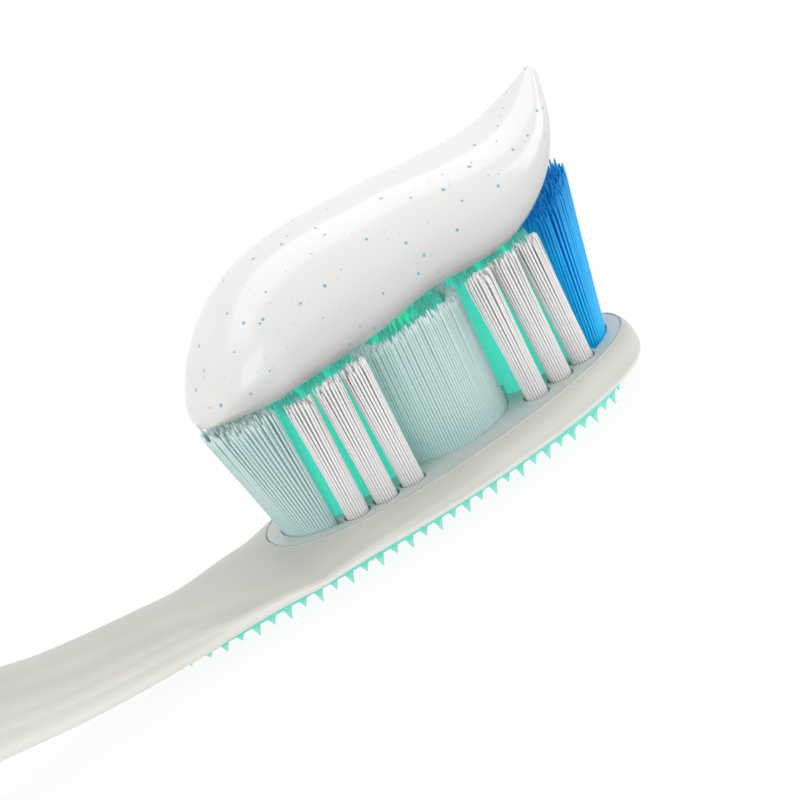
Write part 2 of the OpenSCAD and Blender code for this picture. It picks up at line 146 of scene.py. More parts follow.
class Graph:
    """The nodes of a new material or world."""

    def __init__(self, owner: Owner) -> None:
        """Empties the owner's node tree.

        Args:
            owner: The material or the world.
        """
        owner.use_nodes = True
        self.owner = owner
        self.tree = owner.node_tree
        self.tree.nodes.clear()

    def node(self, kind: str, settings: Settings, inputs: Inputs) -> bpy.types.Node:
        """Adds one node.

        Args:
            kind: The node's type.
            settings: Its properties, which are set first.
            inputs: Values or links for its input sockets, by name or number.

        Returns:
            The node.
        """
        made = self.tree.nodes.new(kind)
        for key, setting in settings.items():
            setattr(made, key, setting)
        for key, given in inputs.items():
            if isinstance(given, Value):
                self.tree.links.new(given.socket, made.inputs[key])
            elif isinstance(given, (int, float)):
                made.inputs[key].default_value = given
            else:
                slots = len(made.inputs[key].default_value)
                made.inputs[key].default_value = (*given, 1.0)[:slots]
        return made

    def value(
        self, kind: str, settings: Settings, inputs: Inputs, output: Union[str, int] = 0
    ) -> Value:
        """Adds one node and gives one of its outputs.

        Args:
            kind: The node's type.
            settings: Its properties, which are set first.
            inputs: Values or links for its input sockets, by name or number.
            output: The output's name or number.

        Returns:
            The output.
        """
        return Value(self, self.node(kind, settings, inputs).outputs[output])

    def maths(self, operation: str, *parts: Input) -> Value:
        """Adds a Math node.

        Args:
            operation: The node's operation.
            parts: Its inputs in order.

        Returns:
            The node's result.
        """
        return self.value("ShaderNodeMath", {"operation": operation}, dict(enumerate(parts)))

    def vector(self, operation: str, *parts: Input) -> Value:
        """Adds a Vector Math node with vector inputs.

        Args:
            operation: The node's operation.
            parts: Its inputs in order.

        Returns:
            The node's vector.
        """
        inputs = dict(enumerate(parts))
        return self.value("ShaderNodeVectorMath", {"operation": operation}, inputs, "Vector")

    def millimetres(self, stretch: Point = (1.0, 1.0, 1.0)) -> Value:
        """Gives the place on the object in millimetres.

        Args:
            stretch: How many times each axis is multiplied.

        Returns:
            The place as a vector.
        """
        place = self.value("ShaderNodeTexCoord", {}, {}, "Object")
        return self.vector("MULTIPLY", place, [s / MM for s in stretch])

    def attribute(self, name: str) -> Value:
        """Reads a number that a mesh stores at its points."""
        settings = {"attribute_type": "GEOMETRY", "attribute_name": name}
        return self.value("ShaderNodeAttribute", settings, {}, "Fac")

    def noise(self, place: Value, scale: float, detail: float = 3.0) -> Value:
        """Adds a noise texture.

        Args:
            place: The place in millimetres.
            scale: Waves a millimetre.
            detail: How many finer layers it has.

        Returns:
            A value about 0.5.
        """
        inputs = {"Vector": place, "Scale": scale, "Detail": detail}
        return self.value("ShaderNodeTexNoise", {}, inputs, "Fac")

    def cells(self, place: Value, scale: float) -> tuple[Value, Value]:
        """Adds a Voronoi texture.

        Args:
            place: The place in millimetres.
            scale: Cells a millimetre.

        Returns:
            The distance from the nearest cell's point, in cells, and a random number of that cell.
        """
        made = self.node("ShaderNodeTexVoronoi", {}, {"Vector": place, "Scale": scale})
        colour = Value(self, made.outputs["Color"])
        chance = self.value("ShaderNodeSeparateColor", {}, {"Color": colour}, "Red")
        return Value(self, made.outputs["Distance"]), chance

    def mix(self, share: Input, first: Input, second: Input) -> Value:
        """Mixes two colours.

        Args:
            share: How much of the second colour there is.
            first: The first colour.
            second: The second colour.

        Returns:
            The mixed colour.
        """
        inputs = {0: share, 6: first, 7: second}
        return self.value("ShaderNodeMix", {"data_type": "RGBA"}, inputs, 2)

    def upward(self) -> Value:
        """Gives how far the surface faces up, from -1 for straight down to 1 for straight up."""
        normal = self.value("ShaderNodeNewGeometry", {}, {}, "Normal")
        return self.value("ShaderNodeSeparateXYZ", {}, {0: normal}, "Z")

    def directly_seen(self) -> Value:
        """Tells where the camera looks straight, by a mirror or through glass.

        Returns:
            1 for camera, glossy and transmission rays, and 0 for the others.
        """
        path = self.node("ShaderNodeLightPath", {}, {})
        seen = Value(self, path.outputs["Is Camera Ray"])
        for ray in ("Is Glossy Ray", "Is Transmission Ray"):
            seen = seen.maths("MAXIMUM", Value(self, path.outputs[ray]))
        return seen

    def bump(self, height: Value, distance_mm: float, strength: float = 1.0) -> Value:
        """Turns a height into a normal.

        Args:
            height: The height, from 0 to 1.
            distance_mm: What a height of 1 stands for, in millimetres.
            strength: How much of it shows.

        Returns:
            The normal.
        """
        inputs = {"Height": height, "Distance": distance_mm * MM, "Strength": strength}
        return self.value("ShaderNodeBump", {}, inputs, "Normal")

    def surface(self, inputs: Inputs) -> bpy.types.Material:
        """Ends the material with a Principled shader.

        Args:
            inputs: The shader's sockets.

        Returns:
            The finished material.
        """
        return self.finish(self.value("ShaderNodeBsdfPrincipled", {}, inputs))

    def finish(self, shader: Value, output: str = "ShaderNodeOutputMaterial") -> Owner:
        """Links a shader to the tree's output.

        Args:
            shader: The shader.
            output: The output node's type.

        Returns:
            The finished material or world.
        """
        self.node(output, {}, {"Surface": shader})
        return self.owner


@dataclass(frozen=True)
class MouldedPlastic:
    """Satin moulded plastic with a fine grain, faint clouds and slight handling marks, with
    painted shade on faces that turn upwards and painted light on faces that turn downwards.
    """

    name: str
    colour: Colour
    # Colour that faint clouds lean towards, and painted shade on faces that turn upwards.
    shade: Colour
    # Colour of faces that turn downwards: painted light.
    below: Colour
    roughness: float
    grain_mm: float = 0.004

    def material(self) -> bpy.types.Material:
        """Builds the finish.

        Returns:
            Its material.
        """
        graph = Graph(bpy.data.materials.new(self.name))
        place = graph.millimetres()
        clouds = graph.noise(place, 0.12, 2.0).ramp(0.35, 0.7)
        flow = graph.noise(graph.millimetres((0.25, 1.0, 1.0)), 0.9, 4.0)
        grain = graph.noise(place, 9.0, 2.0)
        marks = graph.noise(graph.millimetres((0.15, 2.2, 2.2)), 1.6, 5.0).ramp(0.62, 0.75)
        roughness = self.roughness + 0.07 * clouds + 0.08 * marks + 0.05 * (grain - 0.5)
        height = 0.6 * grain + 0.4 * flow
        up = graph.upward()
        # Faint clouds and flow are the plastic's own tone; the darkening of upward faces is
        # painted shade.
        clouds_and_painted_top_shade = 0.15 * clouds + 0.1 * flow + 0.75 * up.ramp(0.1, 0.8)
        clouded_with_painted_top_shade = graph.mix(clouds_and_painted_top_shade, self.colour, self.shade)
        return graph.surface(
            {
                # Faces that turn downwards are lightened: painted light.
                "Base Color": graph.mix(up.ramp(-0.05, -0.6), clouded_with_painted_top_shade, self.below),
                "Roughness": roughness,
                "Normal": graph.bump(height, self.grain_mm),
                "Subsurface Weight": 0.12,
                "Subsurface Radius": (1.0, 0.9, 0.75),
                "Subsurface Scale": 0.6 * MM,
                "IOR": 1.49,
            }
        )


@dataclass(frozen=True)
class Nylon:
    """Drawn nylon filament, shaded along its length, each a little unlike the next, with painted
    shade in the hollows between filaments and a painted glow.
    """

    name: str
    foot: Colour
    middle: Colour
    tip: Colour
    # Colour of filament sides that face their neighbours: painted shade in the hollows between
    # filaments.
    painted_hollow_shade: Colour
    roughness: float = 0.3
    tip_from: float = 0.9
    # How far from the foot the painted shade between filaments fades in.
    smooth_foot: float = 0.03
    glow: float = 0.12
    # Emission strength: a painted glow that brightens the filaments.
    painted_glow: float = 0.0
    clump: Colour = (0.0, 0.0, 0.0)
    clumps: float = 0.0

    def material(self) -> bpy.types.Material:
        """Builds the finish.

        Returns:
            Its material.
        """
        graph = Graph(bpy.data.materials.new(self.name))
        rise = graph.attribute("rise")
        tone = graph.attribute("tone")
        length = graph.mix(rise.ramp(0.0, 0.45), self.foot, self.middle)
        # Towards the tips the colour moves to the tip colour; the green filaments' dark tips are
        # painted shade beneath the paste.
        ends = graph.mix(rise.ramp(self.tip_from, 1.0), length, self.tip)
        patch = graph.noise(graph.millimetres((1.0, 1.0, 0.25)), 0.55, 1.0).ramp(0.62, 0.64)
        topped = graph.mix(patch * rise.ramp(0.82, 0.9) * self.clumps, ends, self.clump)
        streaks = graph.noise(graph.millimetres((6.0, 6.0, 0.35)), 1.0, 2.0)
        varied = graph.mix(0.25 * tone + 0.2 * streaks, topped, self.foot)
        # Painted shade: sides that face neighbouring filaments are darkened, except at the very
        # tips and the foot.
        hollow_shade_share = graph.attribute("outward").ramp(0.97, 0.5) * rise.ramp(0.99, 0.92)
        shade = graph.mix(hollow_shade_share * rise.ramp(0.0, self.smooth_foot), varied, self.painted_hollow_shade)
        return graph.surface(
            {
                "Base Color": shade,
                "Roughness": self.roughness + 0.12 * (streaks - 0.5) + 0.08 * tone,
                "Normal": graph.bump(streaks, 0.006),
                "Subsurface Weight": self.glow,
                "Subsurface Radius": (1.0, 1.0, 1.0),
                "Subsurface Scale": 0.3 * MM,
                # Painted glow: the filament gives off its own colour.
                "Emission Color": shade,
                "Emission Strength": self.painted_glow,
                "IOR": 1.53,
            }
        )


@dataclass(frozen=True)
class SoftRubber:
    """Soft moulded rubber that lets a little light through, with painted shade at the feet of its
    spikes and a painted glow.
    """

    name: str
    colour: Colour
    # Colour at the spikes' feet and on the pad's face: painted shade between the spikes.
    painted_foot_shade: Colour
    # Emission strength: a painted glow on the rubber.
    painted_glow: float = 0.22

    def material(self) -> bpy.types.Material:
        """Builds the finish.

        Returns:
            Its material.
        """
        graph = Graph(bpy.data.materials.new(self.name))
        place = graph.millimetres()
        rise = graph.attribute("rise")
        grain = graph.noise(place, 7.0, 3.0)
        clouds = graph.noise(place, 0.5, 2.0)
        # Painted shade: darker at the spikes' feet and lighter towards their tips, with faint
        # clouds of its own tone.
        shade = graph.mix(rise.ramp(0.0, 0.6) * 0.6 + 0.3 * clouds, self.painted_foot_shade, self.colour)
        return graph.surface(
            {
                "Base Color": shade,
                # Painted glow: the rubber gives off its own colour.
                "Emission Color": shade,
                "Emission Strength": self.painted_glow,
                "Roughness": 0.42 + 0.12 * grain,
                "Normal": graph.bump(grain, 0.01),
                "Subsurface Weight": 0.35,
                "Subsurface Radius": (0.5, 1.0, 0.9),
                "Subsurface Scale": 0.8 * MM,
                "IOR": 1.43,
            }
        )


@dataclass(frozen=True)
class WetPaste:
    """Glossy white paste with fine coloured specks on and just below its surface, and painted
    shade on its underside.
    """

    name: str
    colour: Colour
    shade: Colour
    # Colour of faces that turn downwards: painted shade on the underside.
    below: Colour
    speck: Colour
    pale_speck: Colour
    cells_per_mm: float = 1.1
    speck_r_mm: float = 0.14

    def specks(self, graph: Graph, place: Value, cells: float, r_mm: float, share: float) -> Value:
        """Marks scattered specks.

        Args:
            graph: The material's graph.
            place: The place in millimetres.
            cells: Cells a millimetre.
            r_mm: The largest speck's radius.
            share: How many of the cells have a speck.

        Returns:
            1 in a speck and 0 elsewhere.
        """
        distance, chance = graph.cells(place, cells)
        size = r_mm * cells * (0.55 + 0.45 * chance * (1 / share))
        return (distance - size).ramp(0.035, -0.035) * (chance < share)

    def material(self) -> bpy.types.Material:
        """Builds the finish.

        Returns:
            Its material.
        """
        graph = Graph(bpy.data.materials.new(self.name))
        place = graph.millimetres()
        sharp = self.specks(graph, place, self.cells_per_mm, self.speck_r_mm, 0.75)
        moved = graph.vector("ADD", place, (31.7, 12.3, 7.9))
        faint = self.specks(graph, moved, self.cells_per_mm * 1.2, self.speck_r_mm * 0.9, 0.65)
        ripples = graph.noise(graph.millimetres((0.3, 1.0, 1.0)), 0.8, 2.0)
        pores = graph.noise(place, 5.0, 3.0)
        # Painted shade: faces that turn downwards are darkened.
        lower = graph.upward().ramp(0.3, -0.65)
        ground = graph.mix(lower, graph.mix(0.25 * ripples, self.colour, self.shade), self.below)
        dusted = graph.mix(0.28 * faint, ground, self.pale_speck)
        return graph.surface(
            {
                "Base Color": graph.mix(0.85 * sharp, dusted, self.speck),
                "Roughness": 0.2 + 0.06 * pores + 0.1 * sharp,
                "Normal": graph.bump(0.75 * ripples + 0.25 * pores, 0.02, 0.6),
                "Coat Weight": 0.6,
                "Coat Roughness": 0.07,
                "Subsurface Weight": 0.12,
                "Subsurface Radius": (1.0, 1.0, 1.0),
                "Subsurface Scale": 0.9 * MM,
                "IOR": 1.42,
            }
        )


class Finish(Enum):
    """The finishes of the brush, by what they cover."""

    BODY = MouldedPlastic(
        # BBBAB3 is painted shade on upward faces and F6F5EE painted light on downward faces.
        "body_plastic", linear("DFDED7"), linear("BBBAB3"), linear("F6F5EE"), 0.34
    )
    PLATE = MouldedPlastic(
        # C6CBC8 is painted shade on the plate's upward faces.
        "plate_plastic", linear("D6D8D5"), linear("C6CBC8"), linear("D6D8D5"), 0.3
    )
    # 78DECD is painted shade at the spikes' feet; the pad also has a painted glow.
    PAD = SoftRubber("pad_rubber", linear("B0F6E9"), linear("78DECD"))
    # Each bristle's fourth colour is painted shade between filaments, and its glow strength is a
    # painted glow.
    WHITE = Nylon(
        "bristle_white",
        linear("F0EEEE"),
        linear("FBFAFA"),
        linear("FDFDFD"),
        linear("A8A0A3"),
        painted_glow=0.03,
    )
    PALE = Nylon(
        "bristle_pale",
        linear("B6D0CF"),
        linear("C6DDDB"),
        linear("DCEAE9"),
        linear("8CAAA8"),
        smooth_foot=0.16,
        painted_glow=0.17,
    )
    GREEN = Nylon(
        "bristle_green",
        linear("60D8C8"),
        linear("54DAC6"),
        # Dark tip colour: painted shade at the tips beneath the paste.
        linear("5A9A90"),
        linear("50D2C0"),
        tip_from=0.87,
        painted_glow=0.4,
        clump=linear("3CECB8"),
        clumps=1.0,
    )
    BLUE = Nylon(
        "bristle_blue",
        linear("10BCF4"),
        linear("08A8EC"),
        linear("0480CC"),
        linear("0064B4"),
        tip_from=0.7,
        painted_glow=0.2,
    )
    PASTE = WetPaste(
        "paste",
        linear("E8E8E6"),
        linear("DFDFDD"),
        # BABAB8 is painted shade on the ribbon's underside.
        linear("BABAB8"),
        linear("5FA6C8"),
        linear("9CC8DA"),
    )


PAINTS = {finish: finish.value.material() for finish in Finish}


class Skeins:
    """Gathers points, faces and the numbers that a mesh stores at its points."""

    def __init__(self) -> None:
        """Starts empty."""
        self.points: list[Point] = []
        self.faces: list[Sequence[int]] = []
        self.rise: list[float] = []
        self.tone: list[float] = []
        self.outward: list[float] = []

    def add_rings(
        self,
        rings: Sequence[Sequence[Point]],
        rises: Sequence[float],
        tone: float = 0.0,
        closed: tuple[bool, bool] = (True, True),
        outward: Sequence[float] = (),
    ) -> None:
        """Adds a skin through rings that run counterclockwise seen from the last one.

        Args:
            rings: Rings of points, all of one count, in millimetres.
            rises: The number "rise" of each ring.
            tone: The number "tone" of the whole skin.
            closed: Whether the first and the last ring get a cap.
            outward: The number "outward" of each point of a ring, 1 where there is none.
        """
        start, count = len(self.points), len(rings[0])
        for ring, rise in zip(rings, rises):
            self.points.extend(ring)
            self.rise.extend([rise] * count)
            self.tone.extend([tone] * count)
            self.outward.extend(outward or [1.0] * count)
        for r in range(len(rings) - 1):
            low = start + r * count
            for k in range(count):
                after = (k + 1) % count
                self.faces.append((low + k, low + after, low + count + after, low + count + k))
        last = start + (len(rings) - 1) * count
        if closed[0]:
            self.faces.append(tuple(start + k for k in reversed(range(count))))
        if closed[1]:
            self.faces.append(tuple(last + k for k in range(count)))

    def mesh(self, name: str, offset: Vector) -> bpy.types.Mesh:
        """Makes the mesh.

        Args:
            name: The mesh's name.
            offset: Where the gathered points' origin lies in the frame, in millimetres.

        Returns:
            A smooth mesh in metres.
        """
        made = bpy.data.meshes.new(name)
        places = [tuple((Vector(p) + offset) * MM) for p in self.points]
        made.from_pydata(places, [], self.faces)
        for label in ("rise", "tone", "outward"):
            layer = made.attributes.new(label, "FLOAT", "POINT")
            layer.data.foreach_set("value", getattr(self, label))
        made.polygons.foreach_set("use_smooth", [True] * len(made.polygons))
        made.validate()
        made.update()
        return made


def add_object(
    name: str, data: Union[bpy.types.Mesh, bpy.types.Camera, bpy.types.Light]
) -> bpy.types.Object:
    """Puts a new object in the scene.

    Args:
        name: The object's name.
        data: Its mesh, camera or light.

    Returns:
        The object.
    """
    made = bpy.data.objects.new(name, data)
    bpy.context.scene.collection.objects.link(made)
    return made


def show(
    name: str, mesh: bpy.types.Mesh, finish: Finish, nodes: Sequence[str]
) -> bpy.types.Object:
    """Puts a mesh in the scene as a piece of the brush.

    Args:
        name: The piece's name.
        mesh: Its mesh, in place.
        finish: Its finish.
        nodes: The solids that it stands for.

    Returns:
        The piece.
    """
    piece = add_object(name, mesh)
    mesh.materials.append(PAINTS[finish])
    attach(piece, BODY)
    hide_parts(*nodes)
    LOG.info("%s: %d points, %d faces", name, len(mesh.vertices), len(mesh.polygons))
    return piece


def oval_y(a: float, b: float, x: float, fullness: float) -> float:
    """Gives the half width of an oval.

    Args:
        a: Half its length.
        b: Half its width.
        x: Distance from its middle.
        fullness: 2 for an ellipse, more for a fuller outline.

    Returns:
        The half width there, or 0 outside the oval.
    """
    return 0.0 if abs(x) >= a else b * (1 - (abs(x) / a) ** fullness) ** (1 / fullness)


def signed_pow(v: float, p: float) -> float:
    """Raises a number's size to a power and keeps its sign."""
    return math.copysign(abs(v) ** p, v)


def evenly(low: float, high: float, count: int) -> list[float]:
    """Lists count places at an even pitch from low, without high."""
    return [low + (high - low) * k / count for k in range(count)]


def full_turn(count: int) -> list[float]:
    """Lists count angles evenly round a full turn, in radians."""
    return evenly(0.0, 2 * math.pi, count)


def oval(a: float, b: float, fullness: float, steps: int) -> list[Pair]:
    """Lists points round an oval.

    Args:
        a: Half its length.
        b: Half its width.
        fullness: 2 for an ellipse, more for a fuller outline.
        steps: How many points.

    Returns:
        The points, counterclockwise.
    """
    p = 2 / fullness
    return [
        (a * signed_pow(math.cos(t), p), b * signed_pow(math.sin(t), p)) for t in full_turn(steps)
    ]


def smooth(x: float, low: float, high: float) -> float:
    """Rises smoothly from 0 at low to 1 at high, or falls where high is the lower of the two."""
    t = min(1.0, max(0.0, (x - low) / (high - low)))
    return t * t * (3 - 2 * t)


def two_part_oval(
    width: float, top: float, waist: float, bottom: float, above: float, below: float, steps: int
) -> list[Pair]:
    """Lists points round a section whose upper and lower halves have a fullness each.

    Args:
        width: Half its width.
        top: Its highest place.
        waist: Where it is widest.
        bottom: Its lowest place.
        above: Fullness of the upper half.
        below: Fullness of the lower half.
        steps: How many points.

    Returns:
        The points (across, up), counterclockwise seen from the brush's tail.
    """
    points = []
    for t in full_turn(steps):
        up = math.sin(t) >= 0
        p, h = (2 / above, top - waist) if up else (2 / below, waist - bottom)
        points.append((width * signed_pow(math.cos(t), p), waist + h * signed_pow(math.sin(t), p)))
    return points


def round_off(distance: float, r: float) -> float:
    """Tells how full a moulding is at a distance from a rounded end of length r."""
    return 1.0 if distance >= r else math.sqrt(max(0.0, 1 - (1 - distance / r) ** 2))


def evenly_round(outline: Sequence[Pair], pitch: float) -> list[Pair]:
    """Places points at an even pitch round a closed outline.

    Args:
        outline: The outline's corners.
        pitch: The distance wanted.

    Returns:
        The points.
    """
    ends = [*outline[1:], outline[0]]
    spans = [math.dist(p, q) for p, q in zip(outline, ends)]
    total = sum(spans)
    count = max(3, round(total / pitch))
    places, k, passed = [], 0, 0.0
    for n in range(count):
        wanted = total * n / count
        while passed + spans[k] < wanted:
            passed += spans[k]
            k += 1
        share = (wanted - passed) / spans[k]
        p, q = outline[k], ends[k]
        places.append((p[0] + (q[0] - p[0]) * share, p[1] + (q[1] - p[1]) * share))
    return places


class Rows:
    """Smooth curves through rows of values, each row starting with its own place."""

    def __init__(self, rows: Sequence[Sequence[float]]) -> None:
        """Keeps the rows, in rising order of place."""
        self.rows = rows

    def slope(self, k: int, column: int) -> float:
        """Gives a column's slope at a row, level at both ends.

        Args:
            k: The row's number.
            column: Which value of the rows.

        Returns:
            The slope there.
        """
        if k in (0, len(self.rows) - 1):
            return 0.0
        before, after = self.rows[k - 1], self.rows[k + 1]
        return (after[column] - before[column]) / (after[0] - before[0])

    def at(self, x: float, column: int) -> float:
        """Carries a column between rows by cubics.

        Args:
            x: The place.
            column: Which value of the rows.

        Returns:
            The value there.
        """
        k = 0
        while k < len(self.rows) - 2 and x > self.rows[k + 1][0]:
            k += 1
        low, high = self.rows[k], self.rows[k + 1]
        w = high[0] - low[0]
        t = min(1.0, max(0.0, (x - low[0]) / w))
        m, n = w * self.slope(k, column), w * self.slope(k + 1, column)
        from_low = low[column] * (1 + 2 * t) * (1 - t) ** 2 + m * t * (1 - t) ** 2
        return from_low + high[column] * t * t * (3 - 2 * t) - n * t * t * (1 - t)


@dataclass(frozen=True)
class HeadPlan:
    """Sizes of the head that its pieces share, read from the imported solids, in millimetres."""

    middle: Vector
    plate_a: float
    plate_b: float
    head_a: float
    head_b: float
    deck_z: float
    back_z: float
    fullness: float = 2.25
    pad_sunk: float = 0.4
    trim_l: float = 9.1
    trim_rise: float = 0.48
    trim_scatter: float = 0.25

    @classmethod
    def read(cls) -> "HeadPlan":
        """Reads the sizes from the solids' boxes.

        Returns:
            The plan.
        """
        low, high = (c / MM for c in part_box("tuft_plate"))
        _, h_high = (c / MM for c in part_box("handle"))
        _, p_high = (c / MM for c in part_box("cleaner_pad"))
        middle = Vector(((low.x + high.x) / 2, 0.0, high.z))
        return cls(
            middle=middle,
            plate_a=(high.x - low.x) / 2,
            plate_b=(high.y - low.y) / 2,
            head_a=h_high.x - middle.x,
            head_b=h_high.y,
            deck_z=high.z,
            back_z=p_high.z - cls.pad_sunk,
        )

    def trim(self, x: float) -> float:
        """Gives the height of the trimmed bristles above the deck, which rises to the tip."""
        return self.trim_l + self.trim_rise * x / self.head_a


@dataclass
class Handle:
    """Handle, neck and head, one moulding with a pocket for the tuft plate."""

    plan: HeadPlan
    length: float
    neck_w: float = 6.5
    neck_crown: float = 1.1
    neck_reach: float = 8.8
    arch_l: float = 28.0
    arch_crown: float = 6.2
    arch_clear: float = 5.3
    grip_w: float = 13.6
    grip_t: float = 12.6
    end_w: float = 10.6
    end_t: float = 9.2
    end_round: float = 7.0
    bow_l: float = 3.1
    rim_end: float = 0.65
    plate_gap: float = 0.06
    waist_share: float = 0.45
    skim: float = 0.12
    blend: float = 8.0
    pocket_t: float = 1.2
    seam: float = 0.05
    ridge: float = 0.13
    ridge_r: float = 0.28
    ridge_share: float = 0.12
    ridge_start: Pair = (-75.0, -45.0)
    ridge_end: Pair = (2.0, -12.0)
    close_l: float = 14.0
    head_l: float = 6.0
    crease: float = 40.0
    ring_points: int = 120

    def __post_init__(self) -> None:
        """Works out the rows of the loft.

        A row has its place, half width, top, bottom, the share of its height where it is widest,
        and the fullness of its section above and below that.
        """
        a, deck, back = self.plan.head_a, self.plan.deck_z, self.plan.back_z
        self.tail_x = a - self.length
        self.neck_x = -a - self.neck_reach
        self.plate_a = self.plan.plate_a + self.plate_gap
        self.plate_b = self.plan.plate_b + self.plate_gap
        grip_x = self.neck_x - 2.14 * self.arch_l
        shaft = grip_x - self.tail_x
        foot, neck, grip = -2 * self.skim, self.neck_w / 2, self.grip_w / 2
        crown, under = deck + self.neck_crown, back - self.skim
        self.waist_z = back + self.waist_share * (deck - back)
        share = (self.waist_z - under) / (deck - under)
        reach, belly, clear = self.arch_l, self.grip_t, self.arch_clear
        mid_x, low_x, front_x = self.neck_x - reach, self.neck_x - 0.52 * reach, self.neck_x
        slope_x, rear_x, rise = front_x + 0.36 * self.neck_reach, -self.plate_a, self.neck_crown
        rows = [
            (self.tail_x, self.end_w / 2 - 0.7, self.end_t - 1, foot, 0.5, 2.3, 2.3),
            (self.tail_x + self.end_round + 3, self.end_w / 2, self.end_t, foot, 0.5, 2.3, 2.3),
            (self.tail_x + 0.39 * shaft, grip - 0.5, belly - 1.8, foot, 0.5, 2.4, 2.4),
            (self.tail_x + 0.73 * shaft, grip, belly - 0.4, foot, 0.5, 2.4, 2.4),
            (grip_x, grip - 0.1, belly, foot, 0.5, 2.4, 2.4),
            (front_x - 1.54 * reach, grip - 0.8, belly - 0.8, clear * 0.24, 0.5, 2.4, 2.4),
            (mid_x, (grip + neck) / 2 - 0.4, deck + self.arch_crown, clear, 0.5, 2.4, 2.4),
            (low_x, neck + 0.25, crown + 3.45, clear - 2.1, 0.5, 2.4, 2.4),
            (front_x - 0.27 * reach, neck + 0.05, crown + 1.45, back + 0.8, 0.5, 2.4, 2.4),
            (front_x, neck, crown, back + 0.02, 0.5, 2.5, 2.5),
            (slope_x, neck + 0.8, deck + 0.4 * rise, under, 0.55, 2.3, 1.9),
            (rear_x - 2.4, neck + 1.8, deck + 0.1 * rise, under, 0.53, 2.3, 1.75),
            (rear_x, neck + 2.5, deck, under, share, 2.0, 1.75),
            (rear_x + 4.5, neck + 2.4, deck, under, share, 2.0, 1.95),
            (a, neck, deck, under, share, 2.0, 2.8),
        ]
        self.rows = Rows(rows)

    def half_width(self, x: float) -> float:
        """Gives the moulding's half width, where the oval head runs into the neck.

        Args:
            x: The place along the brush.

        Returns:
            The half width there.
        """
        wide = oval_y(self.plan.head_a, self.plan.head_b, x, self.plan.fullness)
        neck = self.rows.at(x, 1) if x < 0 else 0.0
        return (wide**self.blend + neck**self.blend) ** (1 / self.blend)

    def crown(self, x: float) -> float:
        """Gives the height of the rim's round, which starts level with the plate's top.

        Args:
            x: The place along the brush.

        Returns:
            The height there, if the round ran on over the plate.
        """
        plate_w = oval_y(self.plate_a, self.plate_b, x, self.plan.fullness)
        share = min(0.95, plate_w / self.half_width(x))
        return self.waist_z + (self.plan.deck_z - self.waist_z) / math.sqrt(1 - share * share)

    def levels(self, x: float) -> tuple[float, float, float]:
        """Gives the section's heights, which close up at both ends.

        Args:
            x: The place along the brush.

        Returns:
            The section's top, widest place and bottom.
        """
        deck, mid = self.plan.deck_z, self.end_t / 2
        tail = round_off(x - self.tail_x, self.end_round)
        top, low = self.rows.at(x, 2), self.rows.at(x, 3)
        if x < 0:
            low = mid + (low - mid) * tail
        else:
            bow = round_off(self.plan.head_a - x, self.bow_l)
            low = self.waist_z + (low - self.waist_z) * bow
        if x < -self.plate_a:
            top = mid + (top - mid) * tail
            return top, low + (top - low) * self.rows.at(x, 4), low
        if x < self.plate_a:
            return self.crown(x), self.waist_z, low
        nose = round_off(self.plan.head_a - x, self.rim_end)
        return self.waist_z + (deck - self.waist_z) * nose, self.waist_z, low

    def ring(self, x: float) -> list[Point]:
        """Gives the section at x, with a soft ridge along the widest place of the neck.

        Args:
            x: The place along the brush.

        Returns:
            The ring of points, flat where the moulding lies on its surface or carries the pad.
        """
        top, waist, low = self.levels(x)
        width = self.half_width(x) * round_off(x - self.tail_x, self.end_round)
        floor = self.plan.back_z if x > self.neck_x else 0.0
        section = two_part_oval(
            width, top, waist, low, self.rows.at(x, 5), self.rows.at(x, 6), self.ring_points
        )
        crest = waist + self.ridge_share * (top - waist)
        swell = self.ridge * smooth(x, *self.ridge_start) * smooth(x, *self.ridge_end)
        ring = []
        for y, z in section:
            out = swell * math.exp(-(((z - crest) / self.ridge_r) ** 2))
            ring.append((x, y + math.copysign(out, y), max(z, floor) - self.plan.deck_z))
        return ring

    def stations(self) -> list[float]:
        """Lists the places of the rings.

        Returns:
            Places along the brush, closest together at the rounded ends and round the neck.
        """
        start, close = self.tail_x + self.end_round, self.neck_x - self.close_l
        head = self.head_l - self.plan.head_a
        tail = [start - self.end_round * math.cos(math.radians(t)) for t in range(3, 90, 3)]
        tip = [self.plan.head_a * math.cos(math.radians(t)) for t in (*range(90, 1, -2), 1)]
        middle = [*evenly(start, close, 90), *evenly(close, head, 90), *evenly(head, 0.0, 30)]
        return [*tail, *middle, *tip]

    def pocket(self) -> bpy.types.Object:
        """Makes the solid that cuts the pocket.

        Returns:
            The solid, for as long as the cut needs it.
        """
        a, b = self.plan.plate_a + self.seam, self.plan.plate_b + self.seam
        skin = Skeins()
        outline = oval(a, b, self.plan.fullness, 220)
        heights = (-self.pocket_t, self.neck_crown * 3)
        skin.add_rings([[(x, y, z) for x, y in outline] for z in heights], (0, 0))
        return add_object("pocket", skin.mesh("pocket", self.plan.middle))

